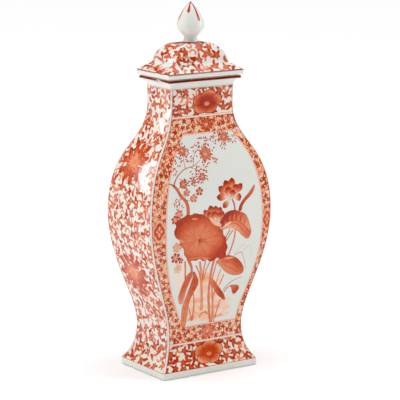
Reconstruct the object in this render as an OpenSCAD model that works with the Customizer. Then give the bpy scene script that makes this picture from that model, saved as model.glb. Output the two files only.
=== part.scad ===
// Lidded porcelain jar of rectangular baluster form, built up from press-moulded slabs.
// The jar is a foot ring, a floor, four mitred walls and a collar, luted together with slip.
// The lid is a hipped canopy with a locating flange under it and a bud-shaped knob on top.
// Millimetres, +Z up, origin at the centre of the foot's underside, front wall facing -Y.

/* [Jar] */
// Height from the table to the top of the collar
jar_h = 337; // [320:0.5:350]
// Width of the foot, left to right
foot_w = 129; // [124:0.5:136]
// Depth of the foot, front to back
foot_d = 91; // [88:0.5:98]
// Height of the plain foot ring
foot_h = 8.6; // [8:0.1:12]
// Width that the waist of the walls is drawn in towards
waist_w = 101; // [94:0.5:112]
// Depth that the waist of the walls is drawn in towards
waist_d = 66; // [60:0.5:74]
// Width that the belly of the walls is drawn out towards
belly_w = 167; // [150:0.5:176]
// Depth that the belly of the walls is drawn out towards
belly_d = 91.6; // [84:0.2:100]
// Width of the neck
neck_w = 84.6; // [82:0.2:92]
// Depth of the neck
neck_d = 50.4; // [47:0.2:56]
// Thickness of the walls
wall = 5; // [3.5:0.25:5.5]

/* [Foot and floor] */
// Width of the unglazed ring that the jar stands on
foot_ring = 8.5; // [7.5:0.5:10]
// Height of the hollow under the floor
foot_hollow = 5.6; // [4.6:0.2:7]
// Thickness of the floor
floor_t = 6.4; // [5:0.2:8]

/* [Collar] */
// Height of the collar moulding
collar_h = 11; // [8:0.5:12]
// Distance that the collar stands out from the neck
collar_out = 6.4; // [4.5:0.1:6.5]
// Height of the collar's upright lip
collar_lip = 3.2; // [3:0.1:5]

/* [Lid] */
// Distance that the lid's eave stands out past the collar
eave_out = 2; // [1:0.1:4]
// Height of the eave's upright band
eave_h = 5.3; // [3.5:0.1:6]
// Height of the shadow gap between the collar and the eave
seat_h = 1.7; // [1:0.1:3]
// Height of the canopy above the eave
canopy_h = 30.4; // [28:0.2:36]
// Depth that the flange reaches down into the neck
flange_h = 12; // [8:0.5:16]
// Thickness of the flange
flange_t = 3.5; // [3:0.1:4]
// Play between the flange and the neck, on each side
flange_play = 1.8; // [1:0.1:2.4]

/* [Knob] */
// Height of the knob above the canopy's crown
knob_h = 45.6; // [42:0.2:50]
// Largest diameter of the bud
knob_w = 31; // [28:0.2:34]

/* [Hidden] */
$fn = 64;
// Points drawn for each span of a spline
SPAN_STEPS = 6;
// Edge break on the lips that are upright in section
EDGE = 0.8;

foot_x = foot_w / 2 - 0.5;
foot_y = foot_d / 2 - 1;
wall_h = jar_h - collar_h - foot_h;
inner_x = neck_w / 2 - wall;
inner_y = neck_d / 2 - wall;
collar_x = neck_w / 2 + collar_out;
collar_y = neck_d / 2 + collar_out;
eave_x = collar_x + eave_out;
eave_y = collar_y + eave_out;
seat_x = collar_x - 2.5;
seat_y = collar_y - 2.5;
flange_x = inner_x - flange_play;
flange_y = inner_y - flange_play;
eave_z = jar_h + seat_h;
canopy_z = eave_z + eave_h;
crown_z = canopy_z + canopy_h;
// Share of the eave's size that the flat crown keeps
CROWN = 0.27;
// Thickness of the canopy at its crown and slopes
CANOPY_T = 4.5;

function mix(a, b, share) = a + (b - a) * share;

// Uniform cubic B-spline whose ends are clamped by repeating the first and last points.
function blend(a, b, c, d, t) =
    (a * pow(1 - t, 3) + b * (3 * pow(t, 3) - 6 * t * t + 4)
        + c * (-3 * pow(t, 3) + 3 * t * t + 3 * t + 1) + d * pow(t, 3)) / 6;
function spline(net) =
    let (
        last = len(net) - 1,
        p = [net[0], net[0], each net, net[last], net[last]],
        spans = len(p) - 3
    )
    [
        for (i = [0 : spans - 1], k = [0 : SPAN_STEPS - 1])
            blend(p[i], p[i + 1], p[i + 2], p[i + 3], k / SPAN_STEPS),
        net[last],
    ];

// The walls' outline as a control net of [height, half width, half depth]. Each row is
// [share of the wall's height, size drawn from, size drawn towards, share of the way].
FOOT = [foot_x, foot_y];
WAIST = [waist_w / 2, waist_d / 2];
BELLY = [belly_w / 2, belly_d / 2];
NECK = [neck_w / 2 - 0.3, neck_d / 2 - 0.7];
MOUTH = [neck_w / 2, neck_d / 2];
wall_rows = [
    [0, FOOT, WAIST, 0],
    [0.023, FOOT, WAIST, 0.4],
    [0.055, FOOT, WAIST, 0.76],
    [0.105, FOOT, WAIST, 1],
    [0.174, WAIST, BELLY, 0.02],
    [0.269, WAIST, BELLY, 0.35],
    [0.382, WAIST, BELLY, 0.75],
    [0.508, WAIST, BELLY, 1],
    [0.627, BELLY, NECK, 0.03],
    [0.728, BELLY, NECK, 0.24],
    [0.797, BELLY, NECK, 0.59],
    [0.853, BELLY, NECK, 0.88],
    [0.91, BELLY, NECK, 1],
    [0.96, NECK, MOUTH, 0.5],
    [1, NECK, MOUTH, 1],
];
wall_net = [
    for (r = wall_rows)
        [foot_h + wall_h * r[0], mix(r[1][0], r[2][0], r[3]), mix(r[1][1], r[2][1], r[3])]
];
stations = spline(wall_net);
inner_stations = [for (s = stations) [s[0], s[1] - wall, s[2] - wall]];

// The canopy's slope, as [height above the eave, share of the eave's size], for a canopy
// that is 31.8 high. It is stretched to the canopy's own height.
canopy_net = [
    [0, 1], [2.6, 0.92], [6.5, 0.79], [9.5, 0.7], [17, 0.675],
    [23.5, 0.6], [29.5, 0.47], [31.5, 0.36], [31.8, CROWN],
];
canopy_stations = [
    for (p = spline([for (r = canopy_net) [r[0] * canopy_h / 31.8, r[1]]]))
        [canopy_z + p[0], eave_x * p[1], eave_y * p[1]]
];

// The knob's outline, as [radius, height above the crown], for a knob that is 46.2 high.
bud_r = knob_w / 2;
knob_net = [
    [8.7, 0], [8, 2], [6.6, 6.5], [9.8, 9.5], [bud_r - 0.6, 14.5], [bud_r + 0.9, 20],
    [bud_r - 1.8, 26.5], [bud_r - 4.6, 33], [6.2, 40.5], [2, 44.6], [0.6, 46.2],
];

// Corners of a rectangular section at station [height, half width, half depth].
function corners(s) = [
    [-s[1], -s[2], s[0]], [s[1], -s[2], s[0]], [s[1], s[2], s[0]], [-s[1], s[2], s[0]],
];

// Solid skinned over four-cornered sections, listed from the bottom up.
module skin(sections) {
    last = 4 * (len(sections) - 1);
    polyhedron(
        points = [for (s = sections) each s],
        faces = [
            [0, 1, 2, 3],
            [last + 3, last + 2, last + 1, last],
            for (i = [0 : 4 : last - 4], j = [0 : 3]) [i + j, i + 4 + j, i + 4 + (j + 1) % 4, i + (j + 1) % 4],
        ]
    );
}

module loft(list) {
    skin([for (s = list) corners(s)]);
}

// One wall between two mitred corners. Side 0 is the front, then right, back and left.
module mitred_wall(side) {
    next = (side + 1) % 4;
    skin([
        for (i = [0 : len(stations) - 1])
            let (o = corners(stations[i]), n = corners(inner_stations[i]))
            [o[side], o[next], n[next], n[side]]
    ]);
}

module rounded_plate(w, d, r) {
    square([w - 2 * r, d], center = true);
    square([w, d - 2 * r], center = true);
    for (x = [-1, 1], y = [-1, 1])
        translate([x * (w / 2 - r), y * (d / 2 - r)]) circle(r);
}

module foot_ring() {
    color("whitesmoke")
    linear_extrude(foot_h)
    difference() {
        rounded_plate(foot_w, foot_d, 2);
        square([foot_w - 2 * foot_ring, foot_d - 2 * foot_ring], center = true);
    }
}

// The floor fills the foot ring and then follows the inside of the walls.
module floor_slab() {
    x = foot_w / 2 - foot_ring;
    y = foot_d / 2 - foot_ring;
    top = foot_hollow + floor_t;
    low = [for (s = inner_stations) if (s[0] < top) s];
    after = inner_stations[len(low)];
    before = low[len(low) - 1];
    share = (top - before[0]) / (after[0] - before[0]);
    color("white")
    union() {
        translate([-x, -y, foot_hollow]) cube([2 * x, 2 * y, foot_h - foot_hollow]);
        loft(concat([for (s = low) s], [mix(before, after, share)]));
    }
}

module wall_front() { color([0.92, 0.62, 0.52]) mitred_wall(0); }
module wall_right() { color([0.92, 0.62, 0.52]) mitred_wall(1); }
module wall_back() { color([0.92, 0.62, 0.52]) mitred_wall(2); }
module wall_left() { color([0.92, 0.62, 0.52]) mitred_wall(3); }

// A coved moulding with an upright lip, open through the middle for the mouth.
module collar() {
    z = jar_h - collar_h;
    cove = collar_h - collar_lip;
    color("white")
    difference() {
        loft([
            for (a = [0 : 15 : 90])
                [
                    z + cove * sin(a),
                    neck_w / 2 + collar_out * (1 - cos(a)),
                    neck_d / 2 + collar_out * (1 - cos(a)),
                ],
            [jar_h - EDGE, collar_x, collar_y],
            [jar_h, collar_x - EDGE, collar_y - EDGE],
        ]);
        loft([[z - 1, inner_x, inner_y], [jar_h + 1, inner_x, inner_y]]);
    }
}

module lid_canopy() {
    x = flange_x - flange_t;
    y = flange_y - flange_t;
    color([0.92, 0.62, 0.52])
    difference() {
        loft([
            [jar_h, seat_x, seat_y],
            [eave_z, seat_x, seat_y],
            [eave_z, eave_x - EDGE, eave_y - EDGE],
            [eave_z + EDGE, eave_x, eave_y],
            each canopy_stations,
        ]);
        loft(concat(
            [[jar_h - 1, x, y]],
            spline([
                [eave_z + 3, x, y],
                [eave_z + 9, x, y + 2],
                [canopy_z + 14, eave_x * 0.66 - CANOPY_T, eave_y * 0.66 - CANOPY_T],
                [canopy_z + 22, eave_x * 0.56 - CANOPY_T, eave_y * 0.56 - CANOPY_T],
                [crown_z - CANOPY_T, eave_x * 0.4 - CANOPY_T, eave_y * 0.4 - CANOPY_T],
            ])
        ));
    }
}

module lid_flange() {
    color("white")
    translate([0, 0, jar_h - flange_h])
    linear_extrude(flange_h)
    difference() {
        square([2 * flange_x, 2 * flange_y], center = true);
        square([2 * (flange_x - flange_t), 2 * (flange_y - flange_t)], center = true);
    }
}

module lid_knob() {
    color("white")
    translate([0, 0, crown_z])
    rotate_extrude()
    polygon([
        [0, 0],
        for (p = spline(knob_net)) [p[0], p[1] * knob_h / 46.2],
        [0, knob_h],
    ]);
}

foot_ring();
floor_slab();
wall_front();
wall_right();
wall_back();
wall_left();
collar();
lid_canopy();
lid_flange();
lid_knob();
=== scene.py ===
"""Lidded porcelain jar of rectangular baluster form, painted in iron red over the glaze.

Every painted face is unrolled flat, in millimetres: u runs across the face and v up its
curve. Its painting is a pile of shapes in those coordinates. They are cut into the face's
own mesh, so each line and leaf is real geometry with a tone of enamel, from 0, bare glaze,
to 1, the darkest line.
"""
import math
import random

import bmesh
import bpy
import numpy as np
from mathutils import Matrix, Quaternion, Vector
from mathutils.geometry import delaunay_2d_cdt


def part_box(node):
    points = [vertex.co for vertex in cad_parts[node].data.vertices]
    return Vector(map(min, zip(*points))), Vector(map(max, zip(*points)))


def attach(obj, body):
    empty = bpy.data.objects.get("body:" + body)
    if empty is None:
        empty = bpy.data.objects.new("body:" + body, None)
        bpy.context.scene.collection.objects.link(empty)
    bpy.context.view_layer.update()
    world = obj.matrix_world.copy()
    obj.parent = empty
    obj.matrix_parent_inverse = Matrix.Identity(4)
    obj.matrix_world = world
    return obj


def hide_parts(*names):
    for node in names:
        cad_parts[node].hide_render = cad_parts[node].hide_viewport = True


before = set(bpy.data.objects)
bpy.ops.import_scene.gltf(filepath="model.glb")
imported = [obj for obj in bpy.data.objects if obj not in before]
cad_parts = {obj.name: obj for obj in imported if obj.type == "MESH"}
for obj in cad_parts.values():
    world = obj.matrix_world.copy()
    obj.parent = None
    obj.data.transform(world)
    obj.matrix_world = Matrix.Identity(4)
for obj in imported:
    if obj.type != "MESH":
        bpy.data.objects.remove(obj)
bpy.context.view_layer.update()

MM = 0.001
TAU = 2 * math.pi


# ---- sizes from the frame

def half_sizes(node, above=-1.0, ratio=None):
    """Rows (z, half x, half y) in mm, one for each level of a node's outer corners."""
    levels = {}
    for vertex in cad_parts[node].data.vertices:
        x, y, z = (abs(c) / MM for c in vertex.co)
        levels.setdefault(round(z, 2), []).append((x, y))
    rows = []
    for z, points in sorted(levels.items()):
        x = max(p[0] for p in points)
        y = max(p[1] for p in points)
        if z > above and (ratio is None or abs(x / y / ratio - 1) < 0.01):
            rows.append((z, x, y))
    return rows


def box_mm(node):
    """Low and high corners of a node's box, in mm."""
    low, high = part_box(node)
    return low / MM, high / MM


# All in millimetres.
WALL_ROWS = half_sizes("wall_front")
WALL_T = 5.0
FOOT_RING_W = 8.5
COLLAR_LOW, COLLAR_HIGH = box_mm("collar")
COLLAR_OUT = 6.4
COVE_H = 7.8
SEAT_GAP = 1.7
SEAT_INSET = 2.5
EAVE_H = 5.3
EAVE = box_mm("lid_canopy")[1]
SEAT_Z = COLLAR_HIGH.z
EAVE_Z = SEAT_Z + SEAT_GAP
ROOF_Z = EAVE_Z + EAVE_H
ROOF_ROWS = half_sizes("lid_canopy", above=ROOF_Z - 0.1, ratio=EAVE.x / EAVE.y)
CROWN_Z, CROWN_X, CROWN_Y = ROOF_ROWS[-1]
ROOF_ROWS += [(CROWN_Z, CROWN_X * share, CROWN_Y * share) for share in (0.85, 0.7, 0.56)]
FLANGE_LOW, FLANGE_HIGH = box_mm("lid_flange")
FLANGE_T = 3.5


# ---- curves

def smooth(points, closed=False, steps=4):
    """Catmull-Rom curve through the points."""
    count = len(points)
    spans = count if closed else count - 1
    curve = []
    for i in range(spans):
        if closed:
            a, b, c, d = (points[(i + k) % count] for k in (-1, 0, 1, 2))
        else:
            a, b, c, d = (points[min(max(i + k, 0), count - 1)] for k in (-1, 0, 1, 2))
        for k in range(steps):
            t = k / steps
            curve.append(tuple(
                0.5 * (2 * q + (r - p) * t + (2 * p - 5 * q + 4 * r - s) * t ** 2
                       + (3 * q - p - 3 * r + s) * t ** 3)
                for p, q, r, s in zip(a, b, c, d)
            ))
    if not closed:
        curve.append(points[-1])
    return curve


def area(points):
    """Area of a closed outline, above 0 when it runs anticlockwise."""
    return 0.5 * sum(p[0] * q[1] - q[0] * p[1] for p, q in zip(points, points[1:] + points[:1]))


def grown(points, distance):
    """A closed outline moved outwards by a distance along its corners' normals."""
    sign = 1 if area(points) > 0 else -1
    result = []
    for i, (x, y) in enumerate(points):
        before, after = points[i - 1], points[(i + 1) % len(points)]
        dx, dy = after[0] - before[0], after[1] - before[1]
        length = math.hypot(dx, dy) or 1.0
        result.append((x + sign * dy / length * distance, y - sign * dx / length * distance))
    return result


def swell(start, middle, end):
    """Width along a stroke, from its start through its middle to its end."""
    return lambda t: start * (1 - t) * (1 - 2 * t) + middle * 4 * t * (1 - t) + end * t * (2 * t - 1)


def ribbon(path, width):
    """Left and right sides of a stroke along a path. width is a number or a function of 0 to 1."""
    last = len(path) - 1
    left, right = [], []
    for i, (x, y) in enumerate(path):
        ax, ay = path[max(i - 1, 0)]
        bx, by = path[min(i + 1, last)]
        length = math.hypot(bx - ax, by - ay) or 1.0
        half = (width(i / last) if callable(width) else width) / 2
        nx, ny = (ay - by) / length * half, (bx - ax) / length * half
        left.append((x + nx, y + ny))
        right.append((x - nx, y - ny))
    return left, right


def polar(x, y, radius, angle, radius_v=None):
    """The point at an angle on a circle round (x, y), or on an ellipse if radius_v is given."""
    rise = radius if radius_v is None else radius_v
    return x + radius * math.cos(angle), y + rise * math.sin(angle)


def turned(points, angle, x=0.0, y=0.0, scale=1.0):
    """Points turned and scaled about the origin, then moved to (x, y)."""
    c, s = math.cos(angle) * scale, math.sin(angle) * scale
    return [(x + c * p - s * q, y + s * p + c * q) for p, q in points]


def sheet(half, low, high):
    """A rectangle that reaches half to both sides, from one level to another."""
    return [(-half, low), (half, low), (half, high), (-half, high)]


def oval(x, y, rx, ry, count=12, lobes=0, depth=0.0, angle=0.0):
    """A closed outline round a point, with optional lobes like a flower's."""
    result = []
    for i in range(count):
        a = TAU * i / count
        swing = 1 + depth * abs(math.cos(lobes * a / 2)) - depth / 2 if lobes else 1
        result.append((rx * swing * math.cos(a), ry * swing * math.sin(a)))
    return turned(result, angle, x, y)


# ---- tones

def linear(start, end, tone_a, tone_b):
    """Tone that runs from one point to another."""
    (ax, ay), (bx, by) = start, end
    span = (bx - ax) ** 2 + (by - ay) ** 2 or 1.0

    def tone(x, y):
        t = np.clip(((x - ax) * (bx - ax) + (y - ay) * (by - ay)) / span, 0, 1)
        return tone_a + (tone_b - tone_a) * t
    return tone


def radial(cx, cy, rx, ry, tone_a, tone_b, power=1.0):
    """Tone that runs from a centre out to an ellipse."""
    def tone(x, y):
        t = np.clip(np.hypot((x - cx) / rx, (y - cy) / ry), 0, 1) ** power
        return tone_a + (tone_b - tone_a) * t
    return tone


# ---- the painting's shapes

class Art:
    """Shapes painted one over another on an unrolled face, in millimetres."""

    def __init__(self):
        self.shapes = []

    def fill(self, points, tone):
        self.shapes.append(([points], tone))

    def inked(self, points, tone, ink=0.92, pen=0.35):
        """A filled shape with a dark outline round it."""
        self.fill(grown(points, pen), ink)
        self.fill(points, tone)

    def stroke(self, points, width, tone, steps=4):
        """A brush stroke through the points, as quads that can't cross themselves."""
        path = smooth(points, steps=steps)
        left, right = ribbon(path, width)
        quads = [
            [right[i], right[i + 1], left[i + 1], left[i]]
            for i in range(len(path) - 1)
        ]
        self.shapes.append((quads, tone))

    def piped(self, points, width, tone, ink=0.75, pen=0.3, steps=4):
        """A stroke with a dark edge on both sides."""
        wider = (lambda t: width(t) + 2 * pen) if callable(width) else width + 2 * pen
        self.stroke(points, wider, ink, steps)
        self.stroke(points, width, tone, steps)

    def mirrored(self):
        """The same painting, left for right."""
        other = Art()
        for outlines, tone in self.shapes:
            flipped = [[(-x, y) for x, y in reversed(points)] for points in outlines]
            back = (lambda x, y, tone=tone: tone(-x, y)) if callable(tone) else tone
            other.shapes.append((flipped, back))
        return other


def leaf_outline(length, width, point=0.75, count=5):
    """A leaf or petal from (0, 0) along +u. point sets how far along it is widest."""
    upper = []
    for i in range(1, count + 1):
        t = i / (count + 1)
        bulge = math.sin(math.pi * t ** (point + 0.25)) ** 0.9
        upper.append((length * t, width / 2 * bulge))
    return [(0, 0)] + [(x, -y) for x, y in upper] + [(length, 0)] + upper[::-1]


def between(start, end, share):
    """The point a share of the way from start to end."""
    return tuple(a + (b - a) * share for a, b in zip(start, end))


def petal(art, base, tip, width, tone_base, tone_tip, point=1.3, ink=0.95, pen=0.35, count=5, pale=0.0):
    """A leaf or petal from base to tip, shaded along its length past the share that stays pale."""
    dx, dy = tip[0] - base[0], tip[1] - base[1]
    outline = leaf_outline(math.hypot(dx, dy), width, point, count)
    outline = turned(outline, math.atan2(dy, dx), *base)
    art.inked(outline, linear(between(base, tip, pale), tip, tone_base, tone_tip), ink, pen)


# Lobes of a leaf, as (direction in radians, depth).
LEAF_LOBES = ((0.0, 0.86), (1.25, 0.66), (-1.25, 0.66), (2.6, 0.26), (-2.6, 0.26))
LEAF_HEART = 0.26
LOBE_WIDTH = 0.38
LEAF_POINTS = 22


def leaf_ring(size, pen=0.0):
    """Outline of a lobed leaf round its middle, wider by a pen stroke if asked."""
    ring = []
    for i in range(LEAF_POINTS):
        a = TAU * i / LEAF_POINTS - math.pi
        lobes = sum(depth * math.exp(-((a - way) / LOBE_WIDTH) ** 2) for way, depth in LEAF_LOBES)
        ring.append(polar(0, 0, size * (LEAF_HEART + lobes) + pen, a))
    return ring


def lobed_leaf(art, x, y, angle, size, tone, bend):
    """A lobed leaf that points along angle and bends aside, darkest at its tips."""
    for pen, shade in ((0.08 * size, 0.95), (0.0, radial(x, y, size, size, tone - 0.16, tone + 0.14))):
        ring = [(p, q + bend * p * p / size) for p, q in leaf_ring(size, pen)]
        art.fill(turned(ring, angle, x, y), shade)


def dab(art, x, y, angle, size, tone):
    """A leaf made by one curved press of the brush, with a dark edge."""
    path = turned([(-1.1, -0.4), (-0.4, 0.1), (0.4, 0.15), (1.1, -0.35)], angle, x, y, size)
    art.piped(path, swell(0.2 * size, 1.0 * size, 0.05 * size), tone, 0.93, 0.07 * size, 2)


def spiral(x, y, radius, spin, phase, turns=1.15):
    """A stem that curls in towards its heart."""
    shares = [i / 11 for i in range(12)]
    return [polar(x, y, radius * (1 - 0.75 * t), phase + spin * t * turns * TAU) for t in shares]


class Scatter:
    """Spots thrown at random over an area, each with a radius that keeps others off."""

    CELL = 10

    def __init__(self, inside, low, high, rng):
        self.inside, self.low, self.high, self.rng = inside, low, high, rng
        self.spots = []
        self.cells = {}

    def cell(self, x, y):
        """Key of the cell that a point is in."""
        return int(x // self.CELL), int(y // self.CELL)

    def near(self, x, y):
        """Spots in the cells round a point."""
        i, j = self.cell(x, y)
        for key in ((a, b) for a in (i - 1, i, i + 1) for b in (j - 1, j, j + 1)):
            yield from self.cells.get(key, ())

    def fits(self, x, y, radius):
        """Whether a spot of this radius keeps clear of all others."""
        return all(math.hypot(x - p, y - q) > radius + r for p, q, r in self.near(x, y))

    def throw(self, radius, tries=30):
        """Adds spots of one radius until few more fit, and returns them."""
        start = len(self.spots)
        size = (self.high[0] - self.low[0]) * (self.high[1] - self.low[1])
        for _ in range(int(tries * size / (math.pi * radius ** 2))):
            x = self.rng.uniform(self.low[0], self.high[0])
            y = self.rng.uniform(self.low[1], self.high[1])
            if self.inside(x, y) and self.fits(x, y, radius):
                self.spots.append((x, y, radius))
                self.cells.setdefault(self.cell(x, y), []).append((x, y, radius))
        return self.spots[start:]


def foliage(art, inside, low, high, leaf, room, rng, depth=0.79, flecks=(0.62, 0.72, 0.8)):
    """Scrolling foliage: lobed leaves joined by bent stems, with curls and flecks between. room
    is how much of its own size each leaf keeps clear round it, and depth the leaves' tone."""
    scatter = Scatter(inside, low, high, rng)
    leaves = scatter.throw(room * leaf)
    curls = scatter.throw(0.5 * leaf)
    stem, pen, tone = 0.2 * leaf, 0.04 * leaf, 0.44
    for k, (x, y, _) in enumerate(leaves[1:], 1):
        near = min(leaves[:k], key=lambda spot: math.hypot(x - spot[0], y - spot[1]))
        bend = rng.choice((-0.4, 0.4))
        middle = ((x + near[0]) / 2 - (y - near[1]) * bend, (y + near[1]) / 2 + (x - near[0]) * bend)
        if math.hypot(x - near[0], y - near[1]) < 3 * leaf:
            art.piped([(x, y), middle, near[:2]], stem, tone, 0.66, pen)
    for x, y, _ in curls:
        path = spiral(x, y, 0.7 * leaf, rng.choice((-1, 1)), rng.uniform(0, TAU), 0.7)
        art.piped(path, swell(0.8 * stem, 1.3 * stem, 0.6 * stem), tone, 0.7, pen, 1)
    for x, y, _ in leaves:
        shade = depth + rng.uniform(-0.06, 0.06)
        angle = rng.uniform(0, TAU)
        size = leaf * rng.uniform(0.9, 1.1)
        lobed_leaf(art, x, y, angle, size, shade, rng.uniform(-0.4, 0.4))
    for x, y, _ in scatter.throw(0.3 * leaf, 12):
        dab(art, x, y, rng.uniform(0, TAU), 0.5 * leaf, rng.choice(flecks))


# ---- flowers

def shaded(cx, cy, rx, ry, stops):
    """Tone by stops of (distance, tone), where distance 1 is the edge of an ellipse."""
    at, tones = zip(*stops)
    return lambda x, y: np.interp(np.hypot((x - cx) / rx, (y - cy) / ry), at, tones)


def blossom(art, x, y, rx, ry, painted_light_lift=0.0):
    """A full five-lobed flower seen from the front: pale rim, deep heart and a light eye. Its last
    argument is painted light: how much lighter than usual the whole flower is laid, standing in for light
    that falls on it."""
    rim = oval(x, y, rx, ry, 50, 5, 0.2, 0.17)
    stops = ((0, 0.76), (0.3, 0.86), (0.5, 0.84), (0.75, 0.7), (1.0, 0.48))
    # Painted light: every tone of the flower is lifted by the last argument.
    tone = shaded(x, y, rx, ry, [(at, depth - painted_light_lift) for at, depth in stops])
    art.inked(rim, tone, 0.95, 0.8)
    for reach in (0.3, 0.5, 0.7, 0.86):
        art.fill(oval(x, y, rx * reach, ry * reach, 30, 5, 0.12, 0.17), tone)
    for k in range(5):
        a = TAU * (k + 0.5) / 5 + 0.17
        bend = a + 0.16
        edge = ((0.42, bend), (0.7, bend), (0.97, a))
        path = [polar(x, y, reach * rx, way, reach * ry) for reach, way in edge]
        art.stroke(path, swell(0.3, 0.6, 0.7), 0.95, 3)
    eye_y = y - 0.16 * ry
    art.inked(oval(x, eye_y, rx * 0.2, ry * 0.2, 14, 5, 0.2), 0.5, 0.88, 0.4)
    for k in range(6):
        a = TAU * k / 6
        art.stroke([polar(x, eye_y, reach * rx, a, reach * ry) for reach in (0.07, 0.16)], 0.4, 0.2, 1)


def star_flower(art, x, y, radius, petals, tone_base, tone_tip, phase=0.0):
    """A flower of narrow petals round a small eye."""
    for k in range(petals):
        a = TAU * k / petals + phase
        base, tip = polar(x, y, 0.12 * radius, a), polar(x, y, radius, a)
        petal(art, base, tip, radius * 3.6 / petals, tone_base, tone_tip, 1.5, 0.9, 0.2, 4)
    art.inked(oval(x, y, 0.2 * radius, 0.2 * radius, 10), 0.3, 0.9, 0.25)


# Rings of a peony's petals, outermost first, as (count, base, tip, width, tones). Base, tip and
# width are shares of its radius.
PEONY_RINGS = (
    (11, 0.35, 1.06, 0.26, (0.5, 0.84)),
    (10, 0.25, 0.76, 0.26, (0.44, 0.76)),
    (8, 0.1, 0.5, 0.25, (0.36, 0.58)),
)


def peony(art, x, y, radius, rng):
    """A large, loose flower: ragged petals with dark tips round a pale, swirled middle."""
    for count, near, far, wide, tones in PEONY_RINGS:
        for k in range(count):
            a = TAU * (k + rng.uniform(-0.2, 0.2)) / count + count
            reach = radius * far * rng.uniform(0.84, 1.1)
            base, tip = polar(x, y, near * radius, a), polar(x, y, reach, a + 0.12)
            petal(art, base, tip, radius * wide * rng.uniform(0.85, 1.15), *tones, 1.7, 0.93, 0.35, 6)
            light = [between(base, tip, share) for share in (0.1, 0.65)]
            art.stroke(light, swell(0.3, 1.0, 0.1), 0.3, 1)
    art.inked(oval(x, y, 0.3 * radius, 0.26 * radius, 20, 6, 0.2), 0.38, 0.74, 0.35)
    for turn in range(3):
        phase = turn * 2.1
        art.stroke(spiral(*polar(x, y, 0.1 * radius, phase), 0.13 * radius, 1, phase), 0.45, 0.7, 1)


def medallion(art, x, y, rx, ry):
    """A lobed boss in the border: a pale ring round a dark four-petalled flower."""
    art.inked(oval(x, y, rx, ry, 32, 4, 0.25), 0.3, 0.85, 0.5)
    art.inked(oval(x, y, rx * 0.72, ry * 0.72, 28, 4, 0.25), radial(x, y, rx, ry, 0.5, 0.85), 0.8, 0.3)
    for k in range(4):
        a = TAU * k / 4
        tip = polar(x, y, 0.55 * rx, a, 0.55 * ry)
        petal(art, (x, y), tip, 0.34 * rx, 0.15, 0.4, 1.5, 0.8, 0.2, 4)
    art.inked(oval(x, y, 0.14 * rx, 0.14 * rx, 8), 0.7, 0.9, 0.2)


def spray(art, x, y, reach, count, rng, tone=0.78):
    """Fine leaflets that fan out round a point."""
    for k in range(count):
        a = TAU * k / count + rng.uniform(-0.25, 0.25)
        r = reach * rng.uniform(0.55, 1.0)
        middle = polar(x, y, r, a)
        way = a + rng.uniform(-0.9, 0.9)
        half = 1.8 * rng.uniform(0.8, 1.2)
        path = [polar(*middle, -half, way), middle, polar(*middle, half, way)]
        art.stroke(path, swell(0.1, 1.4, 0.1), tone + rng.uniform(-0.1, 0.12), 2)


# ---- the lotus pond

def pond_leaf(art):
    """The broad lotus leaf with its scalloped rim and radiating veins."""
    centre = (-17, 151)
    rim = smooth([
        (-38, 180), (-34, 182), (-29, 181), (-24, 182.5), (-18, 181), (-13, 180), (-9, 176.5),
        (-4, 174), (0, 169.5), (6, 167.5), (9.5, 163), (14, 159.5), (15, 154), (19, 149.5),
        (19.5, 144), (22, 138.5), (20, 133), (20, 128), (13, 126), (9, 128), (4, 125.5),
        (-1, 124.5), (-5, 127.5), (-10, 126), (-15, 129.5), (-20, 128), (-26, 129), (-31, 128.5),
        (-33, 132.5), (-36.5, 137), (-37, 143), (-42, 148), (-43.5, 154), (-49, 158.5),
        (-51, 165), (-48.5, 170), (-49, 175), (-44, 178),
    ], closed=True, steps=3)
    shade = radial(*centre, 37, 28, 0.44, 0.82, 2.2)
    art.inked(rim, shade, 0.9, 0.5)
    for reach in (0.3, 0.5, 0.7, 0.86):
        art.fill([between(centre, point, reach) for point in rim], shade)
    for k in range(26):
        a = TAU * (k + 0.3 * math.sin(5 * k)) / 26
        reach = 0.9 if k % 2 else 0.68
        ends = [polar(*centre, r * 34, a + 0.06 * r, r * 25) for r in (0.06, 0.45 * reach, reach)]
        art.stroke(ends, swell(0.9, 0.5, 0.15), 0.74 if k % 2 else 0.68)
        shifted = [(x + 0.9, y + 0.7) for x, y in ends[:2]]
        art.stroke(shifted, swell(0.2, 0.8, 0.1), 0.42, 2)
    art.fill(oval(*centre, 1.8, 1.5, 10), 0.85)
    for base, tip, width in (
        ((-29, 177), (-20, 176), 2.6), ((-46, 156), (-36, 150), 3.2), ((-12, 128), (-4, 128), 2),
    ):
        petal(art, base, tip, width, 0.36, 0.46, 1.2, 0.8, 0.15)
    art.stroke([(-32, 131), (-22, 130.5), (-10, 130), (0, 127)], swell(0.3, 1.0, 0.3), 0.42)


def folded_leaf(art):
    """The leaf that folds over to the right: a dark back and a lighter lining below."""
    lining = smooth([
        (10, 163), (18, 167), (28, 169), (38, 168), (46, 166), (52, 158), (54, 152), (51, 146),
        (47, 146.5), (41, 151), (36, 156), (29, 160), (20, 161), (14, 160),
    ], closed=True, steps=3)
    art.inked(lining, linear((26, 160), (40, 172), 0.32, 0.66), 0.84, 0.4)
    back = smooth([
        (10, 168), (14, 174), (20, 179), (30, 180.5), (38, 177.5), (44, 175), (48, 170), (51, 163),
        (54, 154), (50, 156), (45, 161), (40, 165), (33, 168.5), (26, 168), (18, 166), (13, 163),
    ], closed=True, steps=3)
    art.inked(back, linear((24, 181), (40, 160), 0.9, 0.4), 0.93, 0.5)
    for x, y in ((16, 172), (22, 177), (28, 178), (34, 176.5), (40, 174), (45.5, 169)):
        art.stroke([(x, y), (x - 1, y - 4), (x - 1.5, y - 8)], swell(0.3, 0.9, 0.2), 0.9)
        art.stroke([(x + 2.6, y - 2), (x + 1.8, y - 5), (x + 1, y - 9)], swell(0.3, 1.2, 0.4), 0.46)
    petal(art, (13, 162), (27, 168), 3.4, 0.1, 0.3, 1.2, 0.8, 0.3)
    art.stroke([(22, 164), (30, 165.5), (37, 162), (43, 155), (48, 149)], swell(0.2, 0.7, 0.2), 0.8)


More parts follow.
